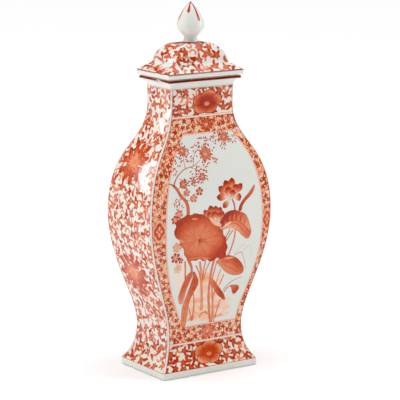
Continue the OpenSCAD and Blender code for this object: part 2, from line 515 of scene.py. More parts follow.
def lotus(art, petals):
    """Petals of a lotus, back ones first: each row is (base, tip, width)."""
    for base, tip, width in petals:
        petal(art, base, tip, width, 0.12, 1.0, 1.6, 0.93, 0.3, 7, 0.22)
        art.stroke([between(base, tip, 0.35), between(base, tip, 0.82)], swell(0.15, 0.4, 0.1), 0.85, 1)


UPPER_LOTUS = (
    ((26, 199), (28, 218), 9), ((25, 198), (18, 216), 9), ((29, 197), (41.5, 210), 8),
    ((24, 197), (9, 209.5), 8.5), ((24, 196), (6, 198), 8), ((29, 195), (40, 195), 8.5),
    ((25, 195), (14.5, 185), 7), ((29, 196), (34, 210), 9), ((25, 195), (21, 208), 10),
    ((27, 193), (29, 204), 8),
)
LOWER_LOTUS = (
    ((-1, 173), (-12, 185), 6.5), ((1, 173), (-3.5, 189.5), 8.5), ((3, 172), (4.5, 188.5), 8.5),
    ((6, 171), (11, 186.5), 8), ((8, 170), (15, 181), 7), ((2, 171), (-6, 182), 8),
    ((5, 170), (2, 182), 9), ((7, 169), (10, 180), 8),
)


def long_leaf(art, outline, start, end, tone_a=0.5, tone_b=0.7, veins=()):
    """A leaf by its outline, shaded from start to end, with fine veins."""
    art.inked(smooth(outline, closed=True, steps=3), linear(start, end, tone_a, tone_b), 0.84, 0.4)
    for path in veins:
        art.stroke(path, swell(0.2, 0.6, 0.2), 0.78)


def pond_leaves(art):
    """Rolled and lance-shaped leaves below the broad one."""
    long_leaf(art, [(-22, 115), (-17, 107), (-15, 100), (-18, 93), (-23, 84), (-26, 73), (-27, 60), (-29, 50),
                    (-33, 51), (-34, 62), (-33, 76), (-29, 88), (-25.2, 99), (-22.6, 109)],
              (-34, 80), (-18, 90), 0.46, 0.7, [[(-31, 56), (-30, 72), (-25, 86), (-20, 98), (-19, 108)]])
    long_leaf(art, [(-24, 116), (-31, 111), (-35, 103), (-38, 95), (-40, 86), (-38, 79), (-35, 78), (-33, 83),
                    (-31, 92), (-27.5, 102), (-24, 110)],
              (-32, 84), (-40, 96), 0.4, 0.62, [[(-36, 81), (-34, 92), (-30, 103), (-26, 112)],
                                                 [(-38, 86), (-35, 97), (-31, 106)]])
    long_leaf(art, [(9, 123), (17, 128), (27, 127.5), (36, 123.5), (43, 117), (47, 110), (46, 105), (41, 103),
                    (32, 104), (23, 108.5), (16, 115)],
              (24, 112), (34, 126), 0.44, 0.8, [[(13, 122), (24, 120), (34, 116), (42, 109)],
                                                [(15, 119), (24, 115), (33, 110), (40, 106)],
                                                [(17, 125), (27, 124), (36, 119), (44, 112)]])
    petal(art, (17, 125), (34, 125), 3, 0.3, 0.42, 1.1, 0.8, 0.15)
    long_leaf(art, [(0, 103), (6, 101), (12, 94), (18, 87), (23, 80), (24, 75), (20, 77), (13, 83),
                    (7, 91), (2, 98)],
              (6, 92), (14, 94), 0.48, 0.74, [[(3, 100), (10, 92), (17, 84), (22, 78)]])
    long_leaf(art, [(31, 91), (36, 91), (41, 89.5), (43, 86.5), (41, 83), (37, 80), (34, 83), (33, 87)],
              (33, 88), (40, 84), 0.55, 0.8)
    blade = smooth([
        (36, 180), (38, 186), (43, 192), (49, 197), (54, 202), (59, 207), (57, 200), (52, 194.5),
        (46, 190), (41.5, 185), (39.5, 179),
    ], closed=True, steps=3)
    art.inked(blade, linear((38, 184), (57, 205), 0.78, 0.6), 0.9, 0.35)


# Stems, as (path, width, tone).
STEMS = (
    ([(-15, 126), (-12, 112), (-10, 96), (-8, 80), (-7, 66)], 2.4, 0.4),
    ([(-7, 126), (-9, 114), (-9, 102)], 1.0, 0.5), ([(-1, 124), (-6, 113), (-8, 102)], 1.0, 0.4),
    ([(5, 127), (2, 113), (1, 100), (1, 84), (3, 68), (6, 50)], 2.4, 0.5),
    ([(9, 124), (6, 112), (4, 100), (6, 84), (8, 66), (8, 50)], 1.2, 0.45),
    ([(15, 113), (11, 100), (9, 88), (8, 74), (10, 60), (11, 50)], 1.0, 0.35),
    ([(20, 106), (15, 94)], 1.0, 0.4), ([(18, 76), (15, 66), (12, 54)], 1.0, 0.5),
    ([(-20, 122), (-15, 113), (-12, 104)], 0.9, 0.5), ([(-25, 73), (-22, 63), (-20, 55)], 0.9, 0.4),
    ([(-20, 88), (-18, 74), (-19, 56)], 1.2, 0.45), ([(-35, 129), (-34, 118), (-33, 106)], 1.4, 0.5),
    ([(32, 158), (31, 148), (28, 138), (24, 128)], 1.3, 0.55),
    ([(29, 158), (24, 152), (20, 146)], 1.0, 0.5), ([(25, 159), (20, 152), (18, 147)], 0.9, 0.55),
    ([(31, 180), (30, 187), (27, 194)], 1.2, 0.8), ([(22, 84), (27, 89), (32, 91)], 0.8, 0.6),
    ([(-10, 58), (-7, 62), (-2, 63.5), (2, 60)], 0.8, 0.5),
)
# Blades of grass, as (path, tone).
GRASSES = (
    ([(21, 87), (27, 93), (36, 97.5), (47, 100)], 0.62),
    ([(32, 127), (39, 130), (43, 129), (47, 120), (51, 108)], 0.6),
    ([(44, 131), (52, 137), (55, 135), (57, 122)], 0.3), ([(33, 129), (40, 136), (47, 140)], 0.26),
)
# Washes of thin enamel, as (u, v, half width, half height, tone).
WASHES = (
    (-2, 66, 34, 13, 0.3), (-4, 92, 16, 22, 0.17), (-40, 115, 9, 18, 0.1), (-14, 79, 12, 4.5, 0.36),
    (-21, 59, 9, 4, 0.42), (-8, 69, 9, 5, 0.34), (10, 68, 16, 4, 0.38), (16, 57, 13, 2.6, 0.42),
    (25, 75, 9, 2.6, 0.32), (-5, 92, 10, 9, 0.24), (6, 83, 9, 7, 0.28), (-26, 66, 5, 8, 0.24),
    (-6, 105, 12, 7, 0.34), (-42, 106, 9, 3, 0.14), (-36, 96, 7, 4, 0.12), (14, 62, 10, 2.5, 0.3),
    (28, 58, 6, 2, 0.2), (14, 100, 6, 9, 0.18),
)
# Twigs, as paths.
TWIGS = (
    [(-42, 204), (-38, 206), (-34, 207)], [(-37, 199), (-31, 198), (-26, 201)],
    [(-30, 199), (-24, 204), (-19, 206)], [(-46, 211), (-42, 215), (-38, 217)],
    [(-38, 218), (-30, 219), (-23, 219)], [(-23, 219), (-18, 222), (-12, 224)],
    [(-40, 202), (-46, 199), (-49, 196)], [(-33, 234), (-34, 242), (-33, 252)],
    [(-22, 236), (-20, 246), (-14, 254)], [(-4, 250), (-2, 258), (2, 264)],
    [(2, 263), (10, 266), (20, 267)], [(-44, 182), (-46, 188), (-44, 192)],
)
# Sprays of leaflets, as (u, v, reach, count).
SPRAYS = (
    (-4, 248, 12, 22), (-5, 262, 7, 12), (4, 258, 8, 10), (14, 266, 6, 12), (25, 265, 9, 18),
    (-33, 254, 9, 14), (-16, 256, 5, 8), (-12, 224, 9, 18), (-24, 219, 6, 12), (-37, 218, 7, 12),
    (-27, 245, 6, 10), (-41, 243, 6, 10), (-22, 230, 5, 6), (-47, 197, 5, 8), (-44, 190, 5, 8),
    (22, 255, 4, 6), (37, 261, 5, 7), (-48, 232, 5, 6), (-17, 232, 4, 6), (-6, 236, 4, 6),
    (8, 240, 3, 5),
)
# Star flowers, as (u, v, radius, petals, tone of the base, tone of the tip).
STAR_FLOWERS = (
    (-4, 248, 8.5, 12, 0.6, 0.46), (25, 265, 6.5, 11, 0.6, 0.46), (-34, 254, 6, 10, 0.62, 0.5),
    (-17, 207, 5, 5, 0.6, 0.8), (-25, 200, 5, 5, 0.4, 0.56), (-34, 207, 4.5, 5, 0.4, 0.6),
    (-12, 223, 5, 7, 0.5, 0.74), (-38, 217, 5, 6, 0.5, 0.72), (-45, 184, 5.5, 6, 0.4, 0.6),
    (-50, 178, 5.5, 6, 0.6, 0.82), (-47, 146, 6, 6, 0.3, 0.42), (-48, 134, 6.5, 6, 0.55, 0.8),
    (-41, 130, 3.5, 5, 0.5, 0.8), (-24, 219, 3, 5, 0.5, 0.7), (-44, 121, 5.5, 6, 0.16, 0.3),
)


def branch_and_sprays(art, rng):
    """The flowering branch that climbs out of the pond on the left."""
    art.piped([(-33, 181), (-33, 190), (-36, 198), (-42, 204), (-46, 211), (-51, 217)],
              swell(3.6, 3.2, 2.2), 0.62, 0.84)
    art.stroke([(-50, 215), (-53, 218), (-57, 219)], swell(2, 1.5, 0.6), 0.8)
    bough = [(-51, 215), (-48, 222), (-42, 229), (-33, 234), (-22, 236), (-12, 242)]
    art.stroke(bough, swell(1.6, 1.1, 0.6), 0.78)
    for path in TWIGS:
        art.stroke(path, swell(0.9, 0.7, 0.4), 0.66)
    for x, y, reach, count in SPRAYS:
        spray(art, x, y, reach, count, rng)
    for x, y, radius, petals, base, tip in STAR_FLOWERS:
        star_flower(art, x, y, radius, petals, base, tip, 0.3 * petals)


# The panel's left edge upwards and its right edge downwards.
PANEL = (
    (-29, 50), (-36, 60), (-42, 74), (-49, 92), (-54, 110), (-58, 128), (-60.5, 148), (-61, 168),
    (-60.5, 188), (-58, 208), (-53, 228), (-45, 246), (-36, 260), (-29, 271),
)
PANEL_RIGHT = (
    (36, 271), (45, 259), (54, 244), (61, 226), (65.5, 208), (68, 188), (69, 168), (68.5, 148),
    (66, 128), (61, 110), (55, 92), (48, 74), (43, 60), (41, 50),
)


def pond_panel(art, rng):
    """The white panel with its double rule, and the lotus pond in it."""
    left = smooth(list(PANEL), steps=2)
    right = smooth(list(PANEL_RIGHT), steps=2)
    outline = left + right
    art.fill(grown(outline, 1.9), 0.5)
    art.fill(grown(outline, 1.3), 0.08)
    art.fill(grown(outline, 0.7), 0.34)
    art.fill(outline, 0.0)
    for x, y, rx, ry, tone in WASHES:
        art.fill(oval(x, y, rx, ry, 16, 7, 0.12), radial(x, y, rx, ry, tone, tone * 0.4, 2))
    for path, width, tone in STEMS:
        art.piped(path, width, tone, 0.72, 0.3)
    for path, tone in GRASSES:
        art.stroke(path, swell(0.9, 0.9, 0.3), tone)
    branch_and_sprays(art, rng)
    pond_leaves(art)
    pond_leaf(art)
    art.piped([(-30, 129), (-26, 121), (-25, 115)], swell(3.6, 2.6, 2.4), 0.55, 0.8)
    folded_leaf(art)
    lotus(art, LOWER_LOTUS)
    for base, tip in (((-5, 176), (8, 165)), ((-1, 172), (13, 164))):
        petal(art, base, tip, 5, 0.12, 0.3, 1.2, 0.7, 0.3)
    lotus(art, UPPER_LOTUS)


# ---- the four walls' paintings

# Levels up the unrolled front where its bands end, and the front's whole length.
BAND_LOW = 30
BAND_HIGH = 291
WALL_LENGTH = 323
# Reach of a leaf in the large scrolls.
LARGE_LEAF = 6.9


def half_width(side, v):
    """Half width of an unrolled wall at a level. side counts round from the front."""
    return float(np.interp(v, WALLS[side].v, WALLS[side].along))


def front_art(seed):
    """A lotus panel in a border of small scrolls, between two bands of large scrolls."""
    rng = random.Random(seed)
    art = Art()
    left_v, left_u = [p[1] for p in PANEL], [p[0] for p in PANEL]
    right_v, right_u = [p[1] for p in PANEL_RIGHT[::-1]], [p[0] for p in PANEL_RIGHT[::-1]]

    def in_border(x, y):
        if not BAND_LOW < y < BAND_HIGH or abs(x) > half_width(0, y):
            return False
        within = np.interp(y, left_v, left_u) < x < np.interp(y, right_v, right_u)
        return not (within and left_v[0] < y < left_v[-1])

    art.fill(sheet(90, BAND_LOW, BAND_HIGH), 0.26)
    foliage(art, in_border, (-86, BAND_LOW + 3), (86, BAND_HIGH),
            leaf=4.0, room=0.8, rng=rng, depth=0.8, flecks=(0.03, 0.06, 0.5))
    star_flower(art, 4, 281, 9, 10, 0.5, 0.8)
    star_flower(art, 2, 40, 10, 10, 0.4, 0.62)
    medallion(art, -71, 167, 8.5, 12)
    medallion(art, 76.5, 165, 6.5, 12)
    pond_panel(art, rng)
    # The lower band's blossom is laid lighter, as painted light for the light that falls there.
    scroll_band(art, -2, BAND_LOW, (1.5, 16), 0.12, rng)
    scroll_band(art, BAND_HIGH, WALL_LENGTH + 3, (5.5, 306), 0.0, rng)
    for y in (BAND_LOW, BAND_HIGH):
        for rise, width, tone in ((0, 1.6, 0.05), (-1.1, 0.5, 0.5), (1.1, 0.5, 0.5)):
            art.stroke([(-90, y + rise), (90, y + rise)], width, tone, 1)
    corner_rules(art, 0)
    return art


def scroll_band(art, low, high, centre, painted_light_lift, rng):
    """A band of large scrolls on the front, with one blossom that can be laid lighter as painted light."""
    def inside(x, y):
        return low < y < high and abs(x) < half_width(0, y)

    art.fill(sheet(90, low, high), 0.06)
    foliage(art, inside, (-66, low + 3), (66, high), leaf=LARGE_LEAF, room=0.8, rng=rng)
    blossom(art, *centre, 18, 12, painted_light_lift)


def corner_rules(art, wall):
    """The bare strip along both edges of a wall, with a fine rule inside it."""
    levels = range(-6, WALL_LENGTH + 24, 6)
    for side in (-1, 1):
        edge = [(side * (half_width(wall, v) + 0.6), v) for v in levels]
        rule = [(side * (half_width(wall, v) - 1.9), v) for v in levels]
        art.stroke(edge, 4.0, 0.0, 1)
        art.stroke(rule, 0.6, 0.8, 1)


def side_art(seed):
    """Scrolling foliage all over, with two large peonies."""
    rng = random.Random(seed)
    art = Art()

    def inside(x, y):
        return abs(x) < half_width(1, y) - 1

    art.fill(sheet(50, -2, WALL_LENGTH + 24), 0.045)
    foliage(art, inside, (-48, 3), (48, WALL_LENGTH + 18),
            leaf=LARGE_LEAF, room=0.88, rng=rng, depth=0.64)
    for x, y in ((-7, 244), (-9, 113)):
        peony(art, x, y, 26, rng)
    corner_rules(art, 1)
    return art


def roof_art(seed, length):
    """Foliage on one slope of the lid, with a rule above the eave."""
    rng = random.Random(seed)
    art = Art()
    art.fill(sheet(60, -1, length + 1), 0.04)
    foliage(art, lambda x, y: 1 < y < length, (-52, 3), (52, length),
            leaf=7.6, room=0.84, rng=rng, depth=0.7)
    art.stroke([(-60, 0.3), (60, 0.3)], 1.6, 0.92, 1)
    return art


# ---- unrolled faces

class Face:
    """One of four mitred faces: rows of (z, half x, half y) unrolled along its own curve."""

    def __init__(self, rows, turn, corner, crown):
        table = np.array(rows)
        odd = turn % 2
        self.z = table[:, 0]
        self.along = table[:, 2 if odd else 1]
        self.out = table[:, 1 if odd else 2]
        self.turn = turn
        self.corner = corner
        self.crown = crown
        self.v = np.concatenate([[0], np.cumsum(np.hypot(np.diff(self.z), np.diff(self.out)))])
        self.lean = self.normals(self.out)
        self.next_lean = self.normals(self.along)

    def normals(self, across):
        """Outward and upward parts of the normal, row by row, of the face that stands at `across`."""
        dz, da = np.gradient(self.z, self.v), np.gradient(across, self.v)
        length = np.hypot(dz, da)
        return np.stack([dz / length, -da / length])

    def reach(self, v):
        """Half width of the unrolled face, out to the middle of its rounded corner."""
        return np.interp(v, self.v, self.along) - self.corner * (1 - math.pi / 4)

    def place(self, u, v, depth=0.0):
        """Points in metres for unrolled points, sunk below the surface by a depth."""
        z, along, out = (np.interp(v, self.v, values) for values in (self.z, self.along, self.out))
        lean = np.stack([np.interp(v, self.v, values) for values in self.lean])
        side = np.stack([np.interp(v, self.v, values) for values in self.next_lean])
        r = self.corner
        past = np.clip((np.abs(u) - (along - r)) / r, 0, math.pi / 4)
        x = np.where(past > 0, along - r + r * np.sin(past), np.abs(u)) * np.sign(u)
        across = np.clip(u / (along - r), -1, 1)
        y = out - r + r * np.cos(past) + self.crown * (1 - across ** 2)
        share = past / (math.pi / 2)
        normal = np.stack([
            side[0] * share * np.sign(u), -lean[0] * (1 - share), lean[1] * (1 - share) + side[1] * share,
        ])
        normal[0] += 2 * self.crown * across / along
        normal /= np.linalg.norm(normal, axis=0)
        x = x * (along - depth) / along
        y = y - depth * np.maximum(lean[0], 0.3)
        z = z - depth * lean[1]
        point = np.stack([x, -y, z]) * MM
        c, s = round(math.cos(self.turn * math.pi / 2)), round(math.sin(self.turn * math.pi / 2))
        spin = np.array([[c, -s, 0], [s, c, 0], [0, 0, 1]])
        return (spin @ point).T, (spin @ normal).T


def crosses(points):
    """Whether a closed outline crosses itself."""
    p = np.array(points)
    q = np.roll(p, -1, axis=0)
    d = q - p

    def cross(a, b):
        return a[..., 0] * b[..., 1] - a[..., 1] * b[..., 0]

    side_p = cross(d[:, None], p[None] - p[:, None])
    side_q = cross(d[:, None], q[None] - p[:, None])
    apart = side_p * side_q < -1e-9
    return bool((apart & apart.T).any())


def triangulate(outline, folds, shapes, grid):
    """Cuts shapes into a face. Returns points, triangles and each triangle's topmost shape."""
    points = [Vector(p) for p in outline]
    faces = [list(range(len(outline)))]
    owner = [-1]
    edges = []
    for fold in folds:
        start = len(points)
        points += [Vector(p) for p in fold]
        edges += [(start + i, start + i + 1) for i in range(len(fold) - 1)]
    for index, (outlines, _) in enumerate(shapes):
        for shape in outlines:
            size = area(shape)
            if abs(size) < 0.002 or (len(shape) > 4 and crosses(shape)):
                continue
            start = len(points)
            points += [Vector(p) for p in (shape if size > 0 else shape[::-1])]
            faces.append(list(range(start, len(points))))
            owner.append(index)
    points += [Vector(p) for p in grid]
    found, _, triangles, _, _, origins = delaunay_2d_cdt(points, edges, faces, 1, 1e-4, True)
    kept, top = [], []
    for triangle, sources in zip(triangles, origins):
        if 0 in sources:
            kept.append(triangle)
            top.append(owner[max(sources)])
    return np.array([tuple(p) for p in found]), np.array(kept), np.array(top)


def rim_loop(triangles):
    """The open edge of a triangulated sheet, as one loop of points in order."""
    directed = {(int(t[i]), int(t[(i + 1) % 3])) for t in triangles for i in range(3)}
    following = {a: b for a, b in directed if (b, a) not in directed}
    start = min(following)
    loop = [start]
    while following[loop[-1]] != start:
        loop.append(following[loop[-1]])
    return loop


def grid_points(face, pitch_u, pitch_v):
    """Points all over a face that carry its curve and its shading."""
    points = []
    for v in np.arange(pitch_v, face.v[-1] - 1, pitch_v):
        half = float(face.reach(v)) - 2.5
        points += [(u, v) for u in np.linspace(-half, half, max(2, int(2 * half / pitch_u)))]
    return points


def slab_outline(face):
    """A face's unrolled outline, and the lines along which its rounded corners fold."""
    levels = np.linspace(0, face.v[-1], int(face.v[-1] / 2.5) + 2)
    r = face.corner

    def half(v, step):
        return float(np.interp(v, face.v, face.along)) - r + step * r * math.pi / 8

    foot = [(half(0, s) * side, 0.0) for side, row in ((-1, (2, 1, 0)), (1, (0, 1, 2))) for s in row]
    end = levels[-1]
    top = [(half(end, s) * side, end) for side, row in ((1, (2, 1, 0)), (-1, (0, 1, 2))) for s in row]
    right = [(half(v, 2), v) for v in levels[1:-1]]
    left = [(-half(v, 2), v) for v in levels[-2:0:-1]]
    folds = [[(side * half(v, s), v) for v in levels[1:-1]] for side in (-1, 1) for s in (0, 1)]
    return foot + right + top + left, folds


def corner_tones(shapes, tops, u, v, count):
    """Tone of every face corner. The skin's corners, at (u, v), come first, and the rest are bare."""
    tone = np.zeros(count)
    corner_top = np.repeat(tops, 3)
    for index in np.unique(corner_top):
        if index >= 0:
            mask = np.nonzero(corner_top == index)[0]
            value = shapes[index][1]
            tone[mask] = value(u[mask], v[mask]) if callable(value) else value
    return tone


def painted_face(name, face, art, thickness, body, slot, *nodes):
    """A closed slab whose outer skin carries its painting."""
    outline, folds = slab_outline(face)
    points, triangles, tops = triangulate(outline, folds, art.shapes, grid_points(face, 7, 5))
    loop = rim_loop(triangles)
    inner_outline = [tuple(points[i]) for i in loop]
    inner, inner_triangles, _ = triangulate(inner_outline, [], [], grid_points(face, 12, 2.5))
    outer_co, outer_no = face.place(points[:, 0], points[:, 1])
    inner_co, inner_no = face.place(inner[:, 0], inner[:, 1], thickness)
    base = len(points)
    faces = [tuple(int(i) for i in t) for t in triangles]
    faces += [tuple(base + int(i) for i in t[::-1]) for t in inner_triangles]
    count = len(loop)
    faces += [(loop[(i + 1) % count], loop[i], base + i, base + (i + 1) % count) for i in range(count)]
    mesh = bpy.data.meshes.new(name)
    mesh.from_pydata(np.concatenate([outer_co, inner_co]).tolist(), [], faces)
    u, v = points[triangles.ravel()].T
    set_tone(mesh, corner_tones(art.shapes, tops, u, v, len(mesh.loops)))
    normals = np.concatenate([
        outer_no[triangles.ravel()], -inner_no[inner_triangles[:, ::-1].ravel()], np.zeros((4 * count, 3)),
    ])
    mesh.shade_smooth()
    mesh.normals_split_custom_set(normals.tolist())
    return place_piece(name, mesh, [MATERIALS["painted"]], body, slot, *nodes)


def set_tone(mesh, tone):
    """Writes each face corner's tone of enamel."""
    layer = mesh.attributes.new("tone", "FLOAT", "CORNER")
    layer.data.foreach_set("value", np.asarray(tone, np.float32))


def place_piece(name, mesh, materials, body, slot, *nodes):
    """Adds a piece that rides on a body and stands in for CAD nodes."""
    piece = bpy.data.objects.new(name, mesh)
    bpy.context.scene.collection.objects.link(piece)
    for material in materials:
        mesh.materials.append(material)
    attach(piece, body)
    if nodes:
        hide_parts(*nodes)
    return piece


# ---- plain moulded pieces

def rectangle_ring(half_x, half_y, z, radius, steps=6):
    """Points round a rectangle with rounded corners, anticlockwise from above."""
    radius = min(radius, half_x - 0.1, half_y - 0.1)
    points = []
    for quarter, (sx, sy) in enumerate(((1, 1), (-1, 1), (-1, -1), (1, -1))):
        for k in range(steps + 1):
            a = math.pi / 2 * (quarter + k / steps)
            x, y = polar(sx * (half_x - radius), sy * (half_y - radius), radius, a)
            points.append(Vector((x, y, z)) * MM)
    return points


def inset_rings(half_x, half_y, rows):
    """Rings drawn in from a rectangle. Rows are (inset, z, corner radius)."""
    return [rectangle_ring(half_x - inset, half_y - inset, z, radius) for inset, z, radius in rows]


def ring_piece(name, rings, closed, body, slot, nodes, tones=None, bare=(), sharp=35):
    """A piece skinned over rings. tones gives the tone of the band that follows a ring, bare the
    bands that are unglazed."""
    bm = bmesh.new()
    tone_layer = bm.loops.layers.float.new("tone")
    loops = [[bm.verts.new(p) for p in ring] for ring in rings]
    count = len(loops[0])
    pairs = list(zip(loops, loops[1:] + loops[:1])) if closed else list(zip(loops, loops[1:]))
    for band, (lower, upper) in enumerate(pairs):
        for i in range(count):
            j = (i + 1) % count
            quad = bm.faces.new((lower[i], lower[j], upper[j], upper[i]))
            quad.material_index = 1 if band in bare else 0
            for corner in quad.loops:
                corner[tone_layer] = (tones or {}).get(band, 0.0)
    if not closed:
        bm.faces.new(loops[0][::-1])
        bm.faces.new(loops[-1])
    bmesh.ops.recalc_face_normals(bm, faces=bm.faces)
    for f in bm.faces:
        f.smooth = True
    for edge in bm.edges:
        edge.smooth = len(edge.link_faces) == 2 and edge.calc_face_angle(0) < math.radians(sharp)
    mesh = bpy.data.meshes.new(name)
    bm.to_mesh(mesh)
    bm.free()
    return place_piece(name, mesh, [MATERIALS["painted"], MATERIALS["biscuit"]], body, slot, *nodes)


LIP_CORNER = 1.6


def foot_ring():
    """The ring under the jar, with a red line round its top and bare biscuit below."""
    high = box_mm("foot_ring")[1]
    top, wide = high.z, FOOT_RING_W
    rings = inset_rings(high.x, high.y, (
        (2.2, 0.0, 2.5), (1.0, 0.25, 2.6), (0.35, 0.9, 2.8), (0.0, 2.0, 3.0),
        (0.0, top - 1.4, 3.0), (0.25, top - 0.5, 2.8), (0.9, top, 2.4), (wide, top, 1.0),
        (wide, 1.0, 1.0), (wide - 0.5, 0.3, 1.2), (wide - 1.5, 0.0, 1.5),
    ))
    tones = {4: 0.1, 5: 0.86}
    ring_piece("foot", rings, True, "jar", "porcelain", ["foot_ring"], tones, bare=(0, 8, 9, 10))


def collar():
    """Cove, upright lip and flat top, with a red line along the lip's upper edge. The line is real but laid
    darker and wider than it is, as painted shade from the lid's eave above it.
    """
    top, foot, out = COLLAR_HIGH.z, COLLAR_LOW.z, COLLAR_OUT
    _, neck_x, neck_y = WALL_ROWS[-1]
    # How far each ring stands out from the neck, and its height.
    rows = [(-0.4, foot - 0.3), (0.12, foot + 0.1), (0.12, foot + 0.7)]
    for a in (math.radians(degrees) for degrees in (18, 36, 54, 70, 82)):
        rows.append((out * (1 - math.cos(a)), foot + 0.7 + (COVE_H - 0.7) * math.sin(a)))
    rows += [
        (out - 0.15, foot + COVE_H + 0.15), (out, foot + COVE_H + 0.6), (out, top - 2.5),
        (out, top - 2.4), (out, top - 0.5), (out - 0.2, top - 0.15), (out - 0.6, top), (out - 1.4, top),
    ]
    rings = inset_rings(neck_x, neck_y, [(-by, z, LIP_CORNER) for by, z in rows])
    rings += inset_rings(neck_x - WALL_T, neck_y - WALL_T, (
        (-0.8, top, 1.2), (-0.1, top - 0.7, 1.0), (-0.1, foot - 0.3, 1.0),
    ))
    # Bands 11 to 14 are the red line: a real line, laid darker and wider as painted shade under the lid.
    tones = {1: 0.45, 11: 0.94, 12: 0.96, 13: 0.96, 14: 0.9}
    ring_piece("collar_moulding", rings, True, "jar", "porcelain", ["collar"], tones)


def eave():
    """The lid's white band, its seat and the hollow under the canopy."""
    seat_low = SEAT_Z + 0.05
    crown = [
        rectangle_ring(x - 1.2, y - 1.2, z - 0.9, 1.2) for z, x, y in ROOF_ROWS[::-2] if z > ROOF_Z + 1.5
    ]
    band = inset_rings(EAVE.x, EAVE.y, [(inset, z, LIP_CORNER) for inset, z in (
        (0.5, ROOF_Z + 0.05), (0.1, ROOF_Z - 0.3), (0.0, ROOF_Z - 0.8), (0.0, ROOF_Z - 0.85),
        (0.0, EAVE_Z + 0.8), (0.25, EAVE_Z + 0.25), (0.9, EAVE_Z),
    )])
    seat = inset_rings(COLLAR_HIGH.x, COLLAR_HIGH.y, (
        (SEAT_INSET, EAVE_Z, LIP_CORNER), (SEAT_INSET, seat_low, LIP_CORNER),
    ))
    x, y = FLANGE_HIGH.x - FLANGE_T, FLANGE_HIGH.y - FLANGE_T
    hollow = [
        rectangle_ring(x, y, seat_low, 1.0), rectangle_ring(x, y, EAVE_Z + 3, 1.0),
        rectangle_ring(x - 3, y + 1, ROOF_Z + 9, 2.0), rectangle_ring(x - 7, y - 1, ROOF_Z + 18, 3.0),
        rectangle_ring(15.0, 8.5, ROOF_Z + 24.6, 3.0),
    ]
    first = len(crown)
    tones = {first: 0.94, first + 1: 0.92}
    bare = (first + 6, first + 7, first + 8)
    rings = crown + band + seat + hollow
    ring_piece("lid_eave", rings, False, "lid", "porcelain", ["lid_canopy"], tones, bare)


def flange():
    """The bare ring that drops into the mouth."""
    low, top, wide = FLANGE_LOW.z, FLANGE_HIGH.z, FLANGE_T
    rings = inset_rings(FLANGE_HIGH.x, FLANGE_HIGH.y, (
        (0.9, low, 1.4), (0.3, low + 0.3, 1.6), (0.0, low + 1.0, 1.8), (0.0, top, 1.8),
        (wide, top, 1.0), (wide, low + 0.9, 1.0), (wide - 0.4, low + 0.2, 1.0), (wide - 1, low, 1.0),
    ))
    ring_piece("lid_flange_ring", rings, True, "lid", "bare_porcelain", ["lid_flange"], bare=range(8))


# ---- knob

def knob_outline():
    """Rows (z, radius) of the knob, read off its CAD node."""
    rows = {}
    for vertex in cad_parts["lid_knob"].data.vertices:
        x, y, z = (c / MM for c in vertex.co)
        rows[round(z, 1)] = max(rows.get(round(z, 1), 0), math.hypot(x, y))
    return sorted(rows.items())


def knob():
    """A bud turned on the wheel, with red strokes that run down from its tip."""
    outline = knob_outline()
    zs, rs = [p[0] for p in outline], [p[1] for p in outline]
    around, rows = 180, 110
    levels = np.linspace(zs[0], zs[-1], rows)
    radii = np.maximum(np.interp(levels, zs, rs), 0.02)
    radii[-1] = 0.02
    angles = np.arange(around) * TAU / around
    points = [
        (r * math.cos(a) * MM, r * math.sin(a) * MM, z * MM)
        for z, r in zip(levels, radii) for a in angles
    ]
    faces = []
    for j in range(rows - 1):
        for i in range(around):
            k = (i + 1) % around
            low, high = j * around, (j + 1) * around
            faces.append((low + i, low + k, high + k, high + i))
    faces.append(tuple(range(around))[::-1])
    faces.append(tuple((rows - 1) * around + i for i in range(around)))
    mesh = bpy.data.meshes.new("knob")
    mesh.from_pydata(points, [], faces)
    mesh.shade_smooth()
    where = np.empty(len(mesh.loops), np.int32)
    mesh.loops.foreach_get("vertex_index", where)
    co = np.array(points)[where] / MM
    set_tone(mesh, knob_tone(co, zs[0], zs[-1]))
    return place_piece("knob_bud", mesh, [MATERIALS["painted"]], "lid", "porcelain", "lid_knob")


def knob_tone(co, foot, tip):
    """A ring round the foot, and six teardrops, long and short by turns, that hang from the tip."""
    strokes = 6
    angle = np.arctan2(co[:, 1], co[:, 0]) * strokes / TAU - 0.68
    radius = np.hypot(co[:, 0], co[:, 1])
    index = np.round(angle)
    sideways = np.abs(angle - index) * TAU / strokes * radius
    length = np.where(index.astype(int) % 2 == 0, 21.0, 11.5)
    along = np.clip((tip - co[:, 2]) / length, 0, 1.2)
    wide = 0.6 + 1.6 * np.clip(along, 0, 1) ** 1.5
    wide = wide * np.sqrt(np.clip((1 - along) / 0.16, 0, 1))
    drop = np.clip((wide - sideways) / 0.35 + 0.5, 0, 1) * (along < 1)
    return np.where(co[:, 2] < foot + 0.9, 0.84, drop * (0.92 - 0.1 * np.clip(along, 0, 1)))


# ---- materials

def colour(code):
    """Linear colour for an sRGB hex code."""
    parts = [int(code[i:i + 2], 16) / 255 for i in (0, 2, 4)]
    return [c / 12.92 if c <= 0.04045 else ((c + 0.055) / 1.055) ** 2.4 for c in parts] + [1.0]


# Colour of the enamel by its tone, from bare glaze to the darkest line.
ENAMEL = (
    (0.0, "DFE2DC"), (0.1, "F0DCCC"), (0.25, "F3BC9A"), (0.42, "E48A5E"), (0.56, "D96C46"), (0.7, "C64A18"),
    (0.82, "B02C04"), (0.92, "931E02"), (1.0, "5E1608"),
)
BISCUIT = ((0.3, "CBBFA9"), (0.5, "DCD2BF"), (0.7, "E6DECF"))
# Cells of noise to a metre, for what each one stands for.
STREAKS, POOLS, CLOUDS, RIPPLES, PORES, SPECKLES = 420, 70, 14, 35, 600, 900


